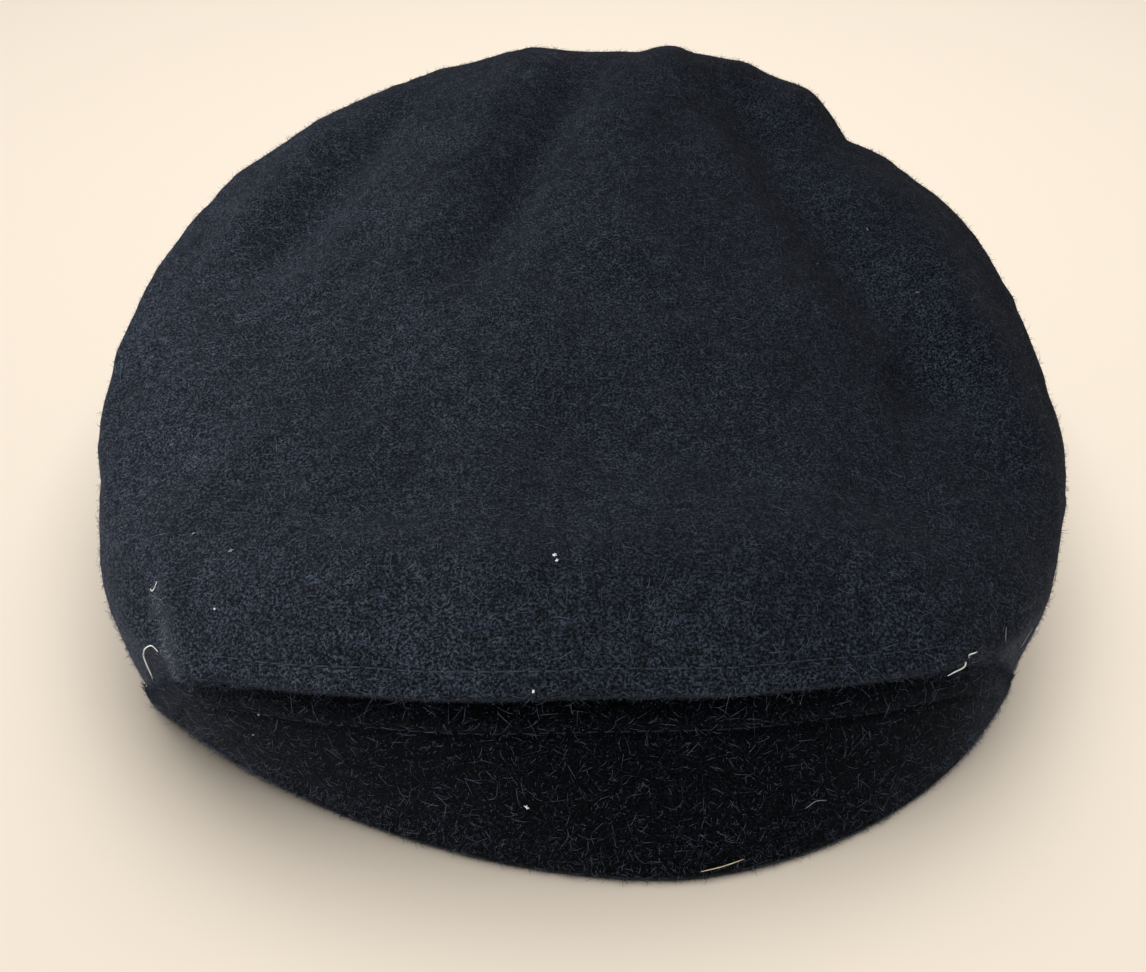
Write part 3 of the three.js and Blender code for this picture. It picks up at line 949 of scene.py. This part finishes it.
def make_corner_nap():
    rng = np.random.default_rng(SEED + 60)
    azimuth = rng.uniform(CORNER_NAP_START, PEAK_END, 2 * CORNER_NAP)
    azimuth[::2] *= -1
    seam, _, down, out = peak_axes(azimuth)
    roots = seam + out * PILE + down * rng.normal(0, CORNER_NAP_SPREAD, (len(azimuth), 1))
    fibre_piece("corner_nap", roots, out, np.random.default_rng(SEED + 61), **CORNER_LOOK)
    for k, (name, ridge) in enumerate((("left_fuzz_painted_highlight", LEFT_RIDGE), ("right_fuzz_painted_highlight", RIGHT_RIDGE))):
        line = smooth_path(np.array(ridge, float))
        roots = line[rng.integers(0, len(line), RIDGE_NAP)] + rng.normal(0, RIDGE_SPREAD, (RIDGE_NAP, 3))
        fibre_piece(name, *settle(roots), np.random.default_rng(SEED + 62 + k), **PALE_RIDGE_HIGHLIGHT_LOOK)


make_corner_nap()


def make_fringe():
    """Nap along the lip's lower edge, over the seam."""
    signed = (np.arange(AZIMUTH_COUNT) * 360 / AZIMUTH_COUNT + 180) % 360 - 180
    order = [i for i in np.argsort(signed) if abs(signed[i]) < FRINGE_END]
    lip = crown_band(*FRINGE_BAND)[:, order]
    roots, normals = surface_samples(lip, FRINGE_NAP, np.random.default_rng(SEED + 70), False)
    fibre_piece("lip_fringe", roots, normals, np.random.default_rng(SEED + 71), **FRINGE_LOOK)


make_fringe()


# Stage, light and camera

FLOOR_SIZE = 6.0
FLOOR_SURFACE = {"Base Color": (0.84, 0.765, 0.665, 1), "Roughness": 0.7, "Specular IOR Level": 0.1}
TENT_FRONT, TENT_BACK, TENT_COLOUR = 0.02, 0.12, (1.0, 0.91, 0.80)
TENT_NEAR, TENT_FAR = -0.7, 0.5
LIGHT_TARGET = Vector((0, 0, 0.03))


def make_floor():
    size = FLOOR_SIZE
    mesh = bpy.data.meshes.new("floor")
    corners = [(-size, -size, 0), (size, -size, 0), (size, size, 0), (-size, size, 0)]
    mesh.from_pydata(corners, [], [(0, 1, 2, 3)])
    material, _, _, bsdf = shader("floor_pale")
    set_inputs(bsdf, FLOOR_SURFACE)
    mesh.materials.append(material)
    floor = bpy.data.objects.new("floor", mesh)
    bpy.context.scene.collection.objects.link(floor)


def make_world():
    """The pale surroundings of a light tent, dim towards its open front."""
    world = bpy.data.worlds.new("tent")
    bpy.context.scene.world = world
    world.use_nodes = True
    nodes, links = world.node_tree.nodes, world.node_tree.links
    split = nodes.new("ShaderNodeSeparateXYZ")
    links.new(nodes.new("ShaderNodeTexCoord").outputs["Generated"], split.inputs["Vector"])
    depth = nodes.new("ShaderNodeMapRange")
    depth.interpolation_type = "SMOOTHSTEP"
    set_inputs(depth, {
        "From Min": TENT_NEAR,
        "From Max": TENT_FAR,
        "To Min": TENT_FRONT,
        "To Max": TENT_BACK,
    })
    links.new(split.outputs["Y"], depth.inputs["Value"])
    background = nodes["Background"]
    background.inputs["Color"].default_value = (*TENT_COLOUR, 1)
    links.new(depth.outputs["Result"], background.inputs["Strength"])


def area_light(name, place, size, watts, colour, lit):
    data = bpy.data.lights.new(name, "AREA")
    data.shape = "RECTANGLE"
    data.size, data.size_y = size
    data.energy = watts
    data.color = colour
    lamp = bpy.data.objects.new(name, data)
    lamp.location = place
    lamp.rotation_euler = (LIGHT_TARGET - Vector(place)).to_track_quat("-Z", "Y").to_euler()
    lamp.visible_camera = False
    bpy.context.scene.collection.objects.link(lamp)
    receivers = bpy.data.collections.new(f"{name}_lit")
    for piece in lit:
        receivers.objects.link(piece)
    lamp.light_linking.receiver_collection = receivers


make_floor()

# The wash lights the floor alone, and the fill all but the peak's cloth, so that each has an even shade
LIGHT_COLUMNS = ("name", "place", "size", "watts", "colour", "lit")
FILLED = [piece for piece in PIECES if piece.name != "peak_cloth"]
LIGHTS = (
    ("key", (-0.22, -0.03, 0.26), (0.2, 0.2), 1.25, (1.0, 0.97, 0.94), PIECES),
    ("fill", (-0.05, -0.42, 0.18), (0.24, 0.24), 1.3, (1.0, 0.97, 0.94), FILLED),
    ("side", (0.46, 0.02, 0.07), (0.2, 0.2), 0.4, (1.0, 0.97, 0.94), PIECES),
    ("wash", (0.0, 0.20, 1.15), (1.5, 1.3), 22.0, (1.0, 0.97, 0.93), [bpy.data.objects["floor"]]),
)


def make_lights():
    for row in LIGHTS:
        area_light(**dict(zip(LIGHT_COLUMNS, row)))


# The photo's view: focal length in pixels of its frame, pitch and turn in degrees, the eye's place in mm
FRAME_WIDTH, FOCAL_PIXELS, SENSOR = 1146, 1060.0, 36.0
VIEW_PITCH, VIEW_TURN = 42.7, -1.2
EYE_HEIGHT, EYE_BACK, EYE_SIDE = 219.0, 241.75, -0.5


def make_camera():
    data = bpy.data.cameras.new("camera")
    data.sensor_fit = "HORIZONTAL"
    data.sensor_width = SENSOR
    data.lens = SENSOR * FOCAL_PIXELS / FRAME_WIDTH
    data.clip_start = 0.01
    pitch, turn = np.radians(VIEW_PITCH), np.radians(VIEW_TURN)
    right = Vector((np.cos(turn), np.sin(turn), 0))
    ahead = Vector((-np.sin(turn), np.cos(turn), 0))
    forward = ahead * np.cos(pitch) - Vector((0, 0, np.sin(pitch)))
    up = ahead * np.sin(pitch) + Vector((0, 0, np.cos(pitch)))
    eye = (right * EYE_SIDE - ahead * EYE_BACK + Vector((0, 0, EYE_HEIGHT)) + Vector(SHIFT)) * MM
    camera = bpy.data.objects.new("camera", data)
    camera.matrix_world = Matrix.Translation(eye) @ Matrix((right, up, -forward)).transposed().to_4x4()
    bpy.context.scene.collection.objects.link(camera)
    bpy.context.scene.camera = camera


make_world()
make_lights()
make_camera()
bpy.context.scene.view_settings.view_transform = "Standard"
